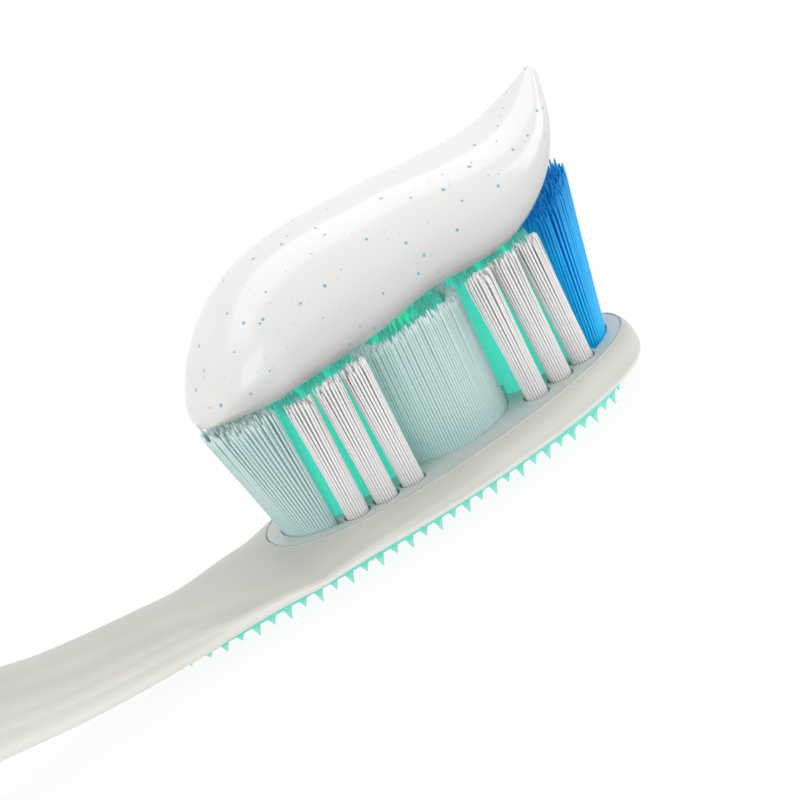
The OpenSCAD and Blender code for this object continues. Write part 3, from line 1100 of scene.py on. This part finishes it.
    def lip(self, r: float = 0.07, sunk: float = 0.45, sides: int = 10) -> bpy.types.Mesh:
        """Makes the rounded lip that runs round the pocket.

        Args:
            r: The lip's radius.
            sunk: How far its middle lies below the rim, as a share of its radius.
            sides: Points round its section.

        Returns:
            Its mesh.
        """
        reach = self.seam + r
        path = oval(self.plan.plate_a + reach, self.plan.plate_b + reach, self.plan.fullness, 260)
        rings = []
        for k, (x, y) in enumerate(path):
            before, after = path[k - 1], path[(k + 1) % len(path)]
            along = Vector((after[0] - before[0], after[1] - before[1], 0)).normalized()
            out = Vector((along.y, -along.x, 0))
            centre, up = Vector((x, y, self.rim_height(x, y) - r * sunk)), Vector((0, 0, 1))
            rings.append(
                [
                    tuple(centre - out * r * math.cos(t) + up * (r * math.sin(t)))
                    for t in full_turn(sides)
                ]
            )
        skin = Skeins()
        skin.add_rings([*rings, rings[0]], [1.0] * (len(rings) + 1), closed=(False, False))
        return skin.mesh("pocket_lip", self.plan.middle)

    def rim_height(self, x: float, y: float) -> float:
        """Gives the height of the rim above the deck at a place beside the pocket.

        Args:
            x: The place along the brush.
            y: The place across it.

        Returns:
            The height there.
        """
        top, waist, _ = self.levels(x)
        n = self.rows.at(x, 5)
        share = min(1.0, abs(y) / self.half_width(x))
        return waist + (top - waist) * (1 - share**n) ** (1 / n) - self.plan.deck_z

    def build(self) -> bpy.types.Object:
        """Makes the moulding and its lip.

        Returns:
            The moulding's piece.
        """
        skin = Skeins()
        stations = self.stations()
        skin.add_rings([self.ring(x) for x in stations], [0.5] * len(stations))
        body = add_object("handle_body", skin.mesh("handle_body", self.plan.middle))
        cutter = self.pocket()
        cut = body.modifiers.new("pocket", "BOOLEAN")
        cut.operation, cut.solver, cut.object = "DIFFERENCE", "EXACT", cutter
        graph = bpy.context.evaluated_depsgraph_get()
        whole = bpy.data.meshes.new_from_object(body.evaluated_get(graph))
        for spent in (body, cutter):
            bpy.data.objects.remove(spent)
        whole.polygons.foreach_set("use_smooth", [True] * len(whole.polygons))
        whole.set_sharp_from_angle(angle=math.radians(self.crease))
        whole.materials.clear()
        show("pocket_lip", self.lip(), Finish.BODY, ["handle"])
        return show("handle_moulding", whole, Finish.BODY, ["handle"])


@dataclass(frozen=True)
class Strand:
    """One filament: its foot, the ways it leans and faces, its length and how its end bends."""

    foot: Vector
    way: Vector
    facing: Vector
    length: float
    bend: Vector
    tone: float


@dataclass
class Tuft:
    """A tuft of filaments that stands for one solid."""

    name: str
    node: str
    finish: Finish
    middle: Vector
    strands: list[Strand]
    filament_r: float = 0.098
    sides: int = 8
    sunk: float = 0.5
    point: float = 0.5

    def skin(self, skin: Skeins, strand: Strand) -> None:
        """Adds one filament with a pointed end.

        Args:
            skin: What the filament's rings are added to.
            strand: The filament.
        """
        side = (strand.facing - strand.way * strand.facing.dot(strand.way)).normalized()
        other = strand.way.cross(side)
        turns = full_turn(self.sides)
        end = self.point / strand.length
        shares = (0.0, 0.4, 0.72, 1 - end, 1 - 0.35 * end, 1.0)
        widths = (1.0, 1.0, 1.0, 0.96, 0.68, 0.3)
        rings = []
        for share, width in zip(shares, widths):
            run = strand.length * share + self.sunk * (share - 1)
            centre = strand.foot + strand.way * run + strand.bend * share**2
            r = self.filament_r * width
            rings.append(
                [tuple(centre + side * r * math.cos(t) + other * r * math.sin(t)) for t in turns]
            )
        # How far each point faces out of its tuft, which sets the painted shade between filaments.
        outward = [(1 + math.cos(t)) / 2 for t in turns]
        skin.add_rings(rings, shares, strand.tone, closed=(False, True), outward=outward)

    def build(self) -> bpy.types.Object:
        """Makes the tuft.

        Returns:
            Its piece.
        """
        skin = Skeins()
        for strand in self.strands:
            self.skin(skin, strand)
        mesh = skin.mesh(self.name, self.middle)
        return show(self.name, mesh, self.finish, [self.node])


@dataclass(frozen=True)
class EndTuft:
    """Sizes of the tuft at one end of the plate, whose heading is +1 at the tip and -1 behind.

    Its spread is how far its filaments' ends move across the brush at its edge, and its lean is
    that of its outermost filaments, in degrees.
    """

    node: str
    finish: Finish
    heading: int
    size: float
    inner_l: float
    outer_l: float
    spread: float
    lean: float


@dataclass
class BristleField:
    """All the tufts of the head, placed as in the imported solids."""

    plan: HeadPlan
    filament_r: float = 0.1
    pitch: float = 0.205
    row_share: float = 0.95
    shortest: float = 2.4
    usual: float = 0.2
    end_inset: float = 1.09
    rear_tuft_l: float = 2.6
    tip_tuft_l: float = 2.9
    rear_l: float = 9.0
    tip_l: float = 11.8
    rear_spread: float = 0.25
    tip_spread: float = 0.2
    edge_y: float = 3.0
    rear_lean: float = 15.0
    tip_lean: float = 11.0
    inner_lean: float = 3.0
    hub: float = 0.35
    cup_x: float = -0.2
    cup_d: float = 9.21
    cup_wall: float = 1.0
    cup_loose: float = 0.03
    core_gap: float = 0.3
    core_pitch: float = 0.29
    core_loose: float = 0.12
    corner_r: float = 1.9
    edge_rise: float = 0.6
    edge_reach: Pair = (3.2, 5.0)
    root_gap: float = 0.05
    inner_pitch: float = 0.25
    spread: float = 0.14
    side_foot: float = 0.9
    side_spread: float = 0.3
    side_lean: float = -2.6
    seed: int = 7
    chance: random.Random = field(init=False)

    def __post_init__(self) -> None:
        """Starts the field's own random numbers."""
        self.chance = random.Random(self.seed)

    def strand(
        self,
        foot: Pair,
        length: float,
        lean: float = 0.0,
        facing: Pair = (0.0, 0.0),
        out: Pair = (0.0, 0.0),
        loose: float = 0.025,
        across: float = 0.0,
    ) -> Strand:
        """Makes one filament with its own small faults.

        Args:
            foot: Place of its foot along the brush and across it.
            length: Its height above the deck before the trim's unevenness.
            lean: Its lean towards +X, in degrees.
            facing: The way from the tuft's middle to it, along the brush and across it.
            out: How far its end bends along the brush and across it, in millimetres.
            loose: How far its end may stray beyond that, in millimetres.
            across: Its distance from the plane through the brush's length, towards whose edges
                the filaments reach higher beside the ribbon.

        Returns:
            The filament.
        """
        scatter = self.plan.trim_scatter
        trim = self.chance.triangular(-self.shortest * scatter, scatter, self.usual * scatter)
        trim += self.edge_rise * smooth(abs(across), *self.edge_reach)
        way = Vector((math.sin(math.radians(lean)), 0, math.cos(math.radians(lean))))
        stray = [v + self.chance.gauss(0, loose) for v in out]
        height = (length + trim) / way.z
        face = Vector((facing[0] + 1e-4, facing[1] - 1e-4, 0)).normalized()
        bend = Vector((*stray, 0))
        return Strand(Vector((*foot, 0)), way, face, height, bend, self.chance.random())

    def round_places(self, r: float, pitch: float) -> Iterator[Pair]:
        """Yields the places of a round bundle, ring by ring.

        Args:
            r: The outermost ring's radius.
            pitch: The distance between filaments.

        Yields:
            The places from the bundle's middle.
        """
        rings = max(1, round(r / pitch))
        for ring in range(rings + 1):
            ring_r = r * ring / rings
            count = max(1, round(2 * math.pi * ring_r / pitch))
            phase = self.chance.random()
            for k in range(count):
                t = 2 * math.pi * (k + phase) / count
                yield ring_r * math.cos(t), ring_r * math.sin(t)

    def round_tuft(self, node: str, finish: Finish, pitch: float) -> Tuft:
        """Makes a round tuft at its solid's place, a little wider at its tips.

        Args:
            node: The solid that it stands for.
            finish: Its colour.
            pitch: The distance between its filaments.

        Returns:
            The tuft.
        """
        low, high = (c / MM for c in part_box(node))
        centre = (low + high) / 2
        r = (high.x - low.x) / 2 - self.root_gap - self.filament_r
        foot = Vector((centre.x, centre.y, self.plan.deck_z))
        length = self.plan.trim(centre.x - self.plan.middle.x)
        across = centre.y - self.plan.middle.y
        side = finish is Finish.WHITE
        close, wide, lean = 1.0, self.spread, 0.0
        if side:
            close, wide, lean = self.side_foot, self.side_spread, self.side_lean
        strands = []
        for x, y in self.round_places(r * close, pitch * close):
            out = (x * wide, y * wide)
            beside = across + y if side else 0.0
            strands.append(self.strand((x, y), length, lean, (x, y), out, across=beside))
        return Tuft(f"{node}_bristles", node, finish, foot, strands, self.filament_r)

    def cup(self) -> Tuft:
        """Makes the cup of bristles in the middle.

        Returns:
            The tuft.
        """
        strands = []
        outer = self.cup_d / 2 - self.filament_r
        length = self.plan.trim_l - self.plan.trim_scatter
        for row in range(int(self.cup_wall / self.pitch)):
            r = outer - row * self.pitch * self.row_share
            count = round(2 * math.pi * r / self.pitch)
            for k in range(count):
                t = 2 * math.pi * (k + row / 2) / count
                foot = (self.cup_x + r * math.cos(t), r * math.sin(t))
                facing = (math.cos(t), math.sin(t))
                made = self.strand(foot, length, 0.0, facing, (0.0, 0.0), self.cup_loose, foot[1])
                strands.append(made)
        return self.placed("cup_tuft", Finish.PALE, strands)

    def core(self) -> Tuft:
        """Makes the green core inside the cup.

        Returns:
            The tuft.
        """
        r = self.cup_d / 2 - self.cup_wall - self.core_gap
        length, loose = self.plan.trim_l, self.core_loose
        strands = [
            self.strand((self.cup_x + x, y), length, 0.0, (x, y), loose=loose)
            for x, y in self.round_places(r, self.core_pitch)
        ]
        return self.placed("core_tuft", Finish.GREEN, strands)

    def end_outline(self, cut: float, inset: float) -> list[Pair]:
        """Gives the outline of an end tuft, an arc of the plate's oval closed by a straight cut.

        Args:
            cut: Distance of the cut from the head's middle.
            inset: How far inside the root's outline it runs.

        Returns:
            The corners, or none where the inset leaves nothing.
        """
        a = self.plan.plate_a - self.end_inset - inset
        b = self.plan.plate_b - self.end_inset - inset
        cut += inset
        if cut >= a or b <= 0:
            return []
        r = min(max(0.05, self.corner_r - inset), (a - cut) / 2)
        half = []
        for t in (*evenly(0.0, math.pi, 60), math.pi):
            x = cut + (a - cut) * (1 - math.cos(t)) / 2
            taken = r * (1 - round_off(x - cut, r))
            half.append((x, max(0.0, oval_y(a, b, x, self.plan.fullness) - taken)))
        return [*[(x, -y) for x, y in half], *half[-2::-1]]

    def end_tuft(self, end: EndTuft, loose: float = 0.04) -> Tuft:
        """Makes the tuft at one end of the plate, whose filaments fan out along the brush.

        Args:
            end: Its sizes.
            loose: How far its filaments' ends may stray, in millimetres.

        Returns:
            The tuft.
        """
        strands, inset = [], self.filament_r
        cut = self.plan.plate_a - self.end_inset - end.size
        while outline := self.end_outline(cut, inset):
            for x, y in evenly_round(outline, self.pitch):
                share = (x - cut) / end.size
                tilt = self.inner_lean + (end.lean - self.inner_lean) * share
                length = end.inner_l + (end.outer_l - end.inner_l) * share
                out = (0.0, end.spread * y / self.edge_y)
                facing = (end.heading * (x - cut - self.hub * end.size), y)
                place = (end.heading * x, y)
                across = y if end.heading < 0 else 0.0
                made = self.strand(place, length, end.heading * tilt, facing, out, loose, across)
                strands.append(made)
            inset += self.pitch * self.row_share
        return self.placed(end.node, end.finish, strands)

    def placed(self, node: str, finish: Finish, strands: list[Strand]) -> Tuft:
        """Makes a tuft whose filaments are placed from the middle of the head."""
        return Tuft(f"{node}_bristles", node, finish, self.plan.middle, strands, self.filament_r)

    def build(self) -> list[bpy.types.Object]:
        """Makes every tuft.

        Returns:
            The tufts' pieces.
        """
        tip_cut = self.plan.plate_a - self.end_inset - self.tip_tuft_l
        rear = EndTuft(
            "rear_tuft",
            Finish.PALE,
            heading=-1,
            size=self.rear_tuft_l,
            inner_l=self.rear_l,
            outer_l=self.rear_l,
            spread=self.rear_spread,
            lean=self.rear_lean,
        )
        tip = EndTuft(
            "tip_tuft",
            Finish.BLUE,
            heading=1,
            size=self.tip_tuft_l,
            inner_l=self.plan.trim(tip_cut),
            outer_l=self.tip_l,
            spread=self.tip_spread,
            lean=self.tip_lean,
        )
        tufts = [self.end_tuft(rear), self.end_tuft(tip), self.cup(), self.core()]
        kinds = (("side", Finish.WHITE, self.pitch), ("inner", Finish.GREEN, self.inner_pitch))
        for edge in ("near", "far"):
            for k in range(1, 7):
                for kind, finish, pitch in kinds:
                    tufts.append(self.round_tuft(f"{edge}_{kind}_tuft_{k}", finish, pitch))
        return [tuft.build() for tuft in tufts]


@dataclass
class CleanerPad:
    """Soft pad with spikes, set into the head's back."""

    plan: HeadPlan
    length: float = 37.9
    inset: float = 2.4
    width: float = 11.0
    thickness: float = 0.6
    end_r: float = 1.5
    front_r: float = 7.0
    spike_h: float = 0.95
    spike_d: float = 0.7
    spike_pitch: float = 1.15
    edge_gap: float = 0.1
    low_share: float = 0.72
    inner_share: float = 0.85
    rear_share: float = 0.5
    rise_share: float = 0.35
    edge_r: float = 0.08
    crease: float = 55.0

    def __post_init__(self) -> None:
        """Works out where the pad lies, and its rows of place and half width."""
        self.front = self.plan.head_a - self.inset
        self.rear = self.front - self.length
        self.face = self.spike_h - self.plan.deck_z
        self.rows = Rows(
            [
                (0.00, 0.20),
                (0.18, 0.44),
                (0.35, 0.70),
                (0.52, 0.89),
                (0.65, 0.95),
                (0.78, 1.00),
                (0.86, 0.97),
                (1.00, 1.00),
            ]
        )

    def half_width(self, x: float) -> float:
        """Gives the pad's half width at a place along it.

        Args:
            x: The place along the brush.

        Returns:
            The half width there.
        """
        share = self.rows.at((x - self.rear) / self.length, 1)
        ends = round_off(x - self.rear, self.end_r) * round_off(self.front - x, self.front_r)
        return self.width / 2 * share * ends

    def outline(self, inset: float) -> list[Pair]:
        """Gives the pad's outline.

        Args:
            inset: How far it is drawn in.

        Returns:
            The outline's points.
        """
        half = []
        for t in (*evenly(0.0, math.pi, 80), math.pi):
            share = (1 + math.cos(t)) / 2
            x = self.rear + self.length * share
            drawn = x - inset * (2 * share - 1)
            half.append((drawn, max(0.0, self.half_width(x) - inset)))
        return [*half, *[(x, -y) for x, y in reversed(half[1:-1])]]

    def spikes(self) -> Iterator[tuple[float, float, float]]:
        """Goes along the pad's lanes, one along each edge and the others between them.

        Yields:
            Each spike's place along and across the brush, and its height.
        """
        edge = self.spike_d / 2 + self.edge_gap
        lanes = int(self.width / 2 / self.spike_pitch)
        for col in range(1, int((self.length - 2 * edge) / self.spike_pitch) + 1):
            x = self.front - edge - col * self.spike_pitch
            y = self.half_width(x) - edge
            grown = self.rear_share + (x - self.rear) / (self.rise_share * self.length)
            height = self.spike_h * min(1.0, grown)
            outer = height * (self.low_share if col % 2 else 1.0)
            if y > self.spike_pitch / 2:
                yield x, y, outer
                yield x, -y, outer
            elif y > 0:
                yield x, 0.0, outer
            for lane in range(-lanes, lanes + 1):
                inner_x = x - self.spike_pitch / 2 * (lane % 2)
                inner_y = lane * self.spike_pitch
                if abs(inner_y) + edge + self.spike_pitch < self.half_width(inner_x):
                    yield inner_x, inner_y, self.inner_share * height

    def spike(self, skin: Skeins, x: float, y: float, height: float) -> None:
        """Adds a spike that flares into the pad at its foot.

        Args:
            skin: What the spike's rings are added to.
            x: Its place along the brush.
            y: Its place across it.
            height: Its height.
        """
        shares = (-0.12, 0.0, 0.08, 0.3, 0.65, 0.93, 1.0)
        widths = (1.25, 1.2, 1.02, 0.76, 0.42, 0.17, 0.07)
        rings = [
            self.level(x, y, w * self.spike_d / 2, self.face - h * height)
            for h, w in zip(shares, widths)
        ]
        skin.add_rings(rings, shares, closed=(False, True))

    def level(self, x: float, y: float, r: float, z: float) -> list[Point]:
        """Gives a level ring of 14 points that runs clockwise seen from above."""
        return [(x + r * math.cos(t), y - r * math.sin(t), z) for t in full_turn(14)]

    def build(self) -> bpy.types.Object:
        """Makes the pad with its spikes.

        Returns:
            Its piece.
        """
        skin = Skeins()
        heights = (self.thickness, self.edge_r, self.edge_r * 0.3, 0.0)
        insets = (0.0, 0.0, self.edge_r * 0.3, self.edge_r)
        rings = [
            [(x, -y, self.face + height) for x, y in self.outline(inset)]
            for height, inset in zip(heights, insets)
        ]
        skin.add_rings(rings, (0.0, 0.0, 0.0, 0.0))
        for x, y, height in self.spikes():
            self.spike(skin, x, y, height)
        mesh = skin.mesh("cleaner_pad_soft", self.plan.middle)
        mesh.set_sharp_from_angle(angle=math.radians(self.crease))
        return show("cleaner_pad_soft", mesh, Finish.PAD, ["cleaner_pad"])


@dataclass
class PasteRibbon:
    """Ribbon of paste, a wave that starts blunt and ends in a curled peak."""

    plan: HeadPlan
    length: float = 33.5
    width: float = 11.0
    height: float = 8.7
    gap: float = 0.1
    waist: float = 0.42
    upper_fullness: float = 2.1
    lower_fullness: float = 3.2
    rings: int = 180
    ring_points: int = 110
    ripple: float = 0.012
    ripples_per_mm: Point = (0.22, 0.3, 0.3)

    def __post_init__(self) -> None:
        """Finds the ribbon's start and sets its rows.

        A row has its place, the top's and the underside's place and height, and the half width,
        all as shares.
        """
        self.back_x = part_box("paste")[1].x / MM - self.plan.middle.x - self.length
        self.foot_z = self.plan.trim_l + self.plan.trim_scatter + self.gap
        self.rows = Rows(
            [
                (0.00, 0.000, 0.139, 0.002, 0.076, 0.05),
                (0.04, 0.025, 0.307, 0.019, 0.079, 0.42),
                (0.12, 0.074, 0.565, 0.120, 0.038, 0.84),
                (0.24, 0.180, 0.885, 0.193, 0.020, 0.93),
                (0.38, 0.317, 1.000, 0.387, 0.009, 1.00),
                (0.54, 0.522, 0.946, 0.521, 0.043, 0.97),
                (0.70, 0.692, 0.854, 0.720, 0.008, 0.99),
                (0.82, 0.822, 0.804, 0.854, 0.211, 0.82),
                (0.92, 0.912, 0.862, 0.942, 0.538, 0.52),
                (1.00, 0.988, 0.991, 1.000, 0.888, 0.06),
            ]
        )

    def ring(self, s: float) -> list[Point]:
        """Gives a section of the ribbon, with a faint ripple.

        Args:
            s: The share of the ribbon where it lies.

        Returns:
            The ring of points.
        """
        top = (self.length * self.rows.at(s, 1), self.height * self.rows.at(s, 2))
        low = (self.length * self.rows.at(s, 3), self.height * self.rows.at(s, 4))
        width = self.width / 2 * self.rows.at(s, 5)
        middle = Vector(((top[0] + low[0]) / 2, 0, (top[1] + low[1]) / 2))
        fullness = (self.upper_fullness, self.lower_fullness)
        section = two_part_oval(width, 1.0, self.waist, 0.0, *fullness, self.ring_points)
        ring = []
        for y, up in section:
            place = Vector((low[0] + (top[0] - low[0]) * up, y, low[1] + (top[1] - low[1]) * up))
            away = (place - middle) * min(1.0, 1 / max(0.1, (place - middle).length))
            wave = noise.noise(Vector([v * n for v, n in zip(place, self.ripples_per_mm)]))
            place -= away * self.ripple * (1 + wave)
            rise = self.plan.trim_rise * (self.back_x + place.x) / self.plan.head_a
            ring.append((self.back_x + place.x, place.y, self.foot_z + place.z + rise))
        return ring

    def build(self) -> bpy.types.Object:
        """Makes the ribbon.

        Returns:
            Its piece.
        """
        skin = Skeins()
        turns = (*evenly(0.0, math.pi, self.rings), math.pi)
        shares = [(1 - math.cos(t)) / 2 for t in turns]
        skin.add_rings([self.ring(s) for s in shares], shares)
        mesh = skin.mesh("paste_ribbon", self.plan.middle)
        return show("paste_ribbon", mesh, Finish.PASTE, ["paste"])


@dataclass(frozen=True)
class Lamp:
    """Soft oblong white lamp: its way from the head and its size in metres, and its watts."""

    name: str
    way: Point
    size: Pair
    power: float

    def build(self, target: Vector) -> None:
        """Adds the lamp, turned to what it lights.

        Args:
            target: What it lights, in metres.
        """
        data = bpy.data.lights.new(self.name, "AREA")
        data.shape, data.energy = "RECTANGLE", self.power
        data.size, data.size_y = self.size
        lamp = add_object(self.name, data)
        lamp.location = target + Vector(self.way)
        lamp.rotation_euler = Vector(self.way).to_track_quat("Z", "Y").to_euler()


@dataclass
class Studio:
    """Pale floor, plain soft lamps and the camera at the photograph's angle."""

    plan: HeadPlan
    azimuth: float = -24.693
    elevation: float = 20.414
    roll: float = 25.18
    distance: float = 200.0
    shift_right: float = 3.169
    shift_up: float = -1.744
    focal_px: float = 2941.6
    picture_px: float = 800.0
    sensor: float = 36.0
    clip: Pair = (0.01, 20.0)
    floor_half: float = 3.0
    floor_drop: float = 0.0001
    floor_shade: Colour = (0.9, 0.9, 0.9)
    floor_white: float = 0.9
    floor_glow: float = 1.015
    world_light: float = 0.56
    lamps: tuple[Lamp, ...] = (
        Lamp("top_lamp", (0.0, 0.15, 0.72), (1.2, 0.6), 2.9),
        Lamp("left_lamp", (-0.5, -0.42, 0.28), (0.5, 0.5), 1.2),
        Lamp("right_lamp", (0.6, -0.25, 0.22), (0.4, 0.4), 1.2),
    )

    def camera(self) -> None:
        """Adds the camera, turned about its own axis as the photograph is."""
        a, e, r = (math.radians(t) for t in (self.azimuth, self.elevation, self.roll))
        back = Vector((math.sin(a) * math.cos(e), -math.cos(a) * math.cos(e), math.sin(e)))
        level = Vector((math.cos(a), math.sin(a), 0))
        upright = back.cross(level)
        right = level * math.cos(r) - upright * math.sin(r)
        up = level * math.sin(r) + upright * math.cos(r)
        place = self.plan.middle + back * self.distance
        place -= right * self.shift_right + up * self.shift_up
        data = bpy.data.cameras.new("camera")
        data.sensor_width = self.sensor
        data.lens = self.focal_px * self.sensor / self.picture_px
        data.clip_start, data.clip_end = self.clip
        eye = add_object("camera", data)
        turn = Matrix((right, up, back)).transposed().to_4x4()
        eye.matrix_world = Matrix.Translation(place * MM) @ turn
        bpy.context.scene.camera = eye

    def floor(self) -> None:
        """Adds a wide pale floor that looks white and keeps a faint shadow."""
        graph = Graph(bpy.data.materials.new("pale_floor"))
        plain = graph.value("ShaderNodeBsdfDiffuse", {}, {"Color": self.floor_shade})
        inputs = {"Color": (1, 1, 1), "Strength": self.floor_glow}
        white = graph.value("ShaderNodeEmission", {}, inputs)
        share = self.floor_white * graph.directly_seen()
        both = graph.value("ShaderNodeMixShader", {}, {0: share, 1: plain, 2: white})
        half = self.floor_half
        corners = [(-half, -half, 0), (half, -half, 0), (half, half, 0), (-half, half, 0)]
        mesh = bpy.data.meshes.new("floor")
        mesh.from_pydata(corners, [], [(0, 1, 2, 3)])
        mesh.materials.append(graph.finish(both))
        floor = add_object("floor", mesh)
        floor.location.z = -self.floor_drop

    def world(self) -> None:
        """Lights the scene softly all round, and shows white behind it."""
        graph = Graph(bpy.data.worlds.new("studio"))
        strength = self.world_light + (1 - self.world_light) * graph.directly_seen()
        inputs = {"Color": (1, 1, 1), "Strength": strength}
        sky = graph.value("ShaderNodeBackground", {}, inputs)
        bpy.context.scene.world = graph.finish(sky, "ShaderNodeOutputWorld")

    def build(self) -> None:
        """Sets up the whole studio."""
        self.floor()
        self.world()
        for lamp in self.lamps:
            lamp.build(self.plan.middle * MM)
        self.camera()
        bpy.context.scene.view_settings.view_transform = "Standard"


def dress_plate() -> None:
    """Gives the plate's own solid its moulded finish."""
    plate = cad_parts["tuft_plate"]
    plate.data.materials.clear()
    plate.data.materials.append(PAINTS[Finish.PLATE])
    LOG.info("tuft_plate: %d points", len(plate.data.vertices))


def main() -> None:
    """Builds the brush piece by piece, and then its studio."""
    logging.basicConfig(level=logging.INFO, format="%(name)s %(message)s")
    plan = HeadPlan.read()
    low, high = (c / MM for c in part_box("handle"))
    Handle(plan, length=high.x - low.x).build()
    dress_plate()
    BristleField(plan).build()
    CleanerPad(plan).build()
    PasteRibbon(plan).build()
    Studio(plan).build()


if __name__ == "__main__":
    main()
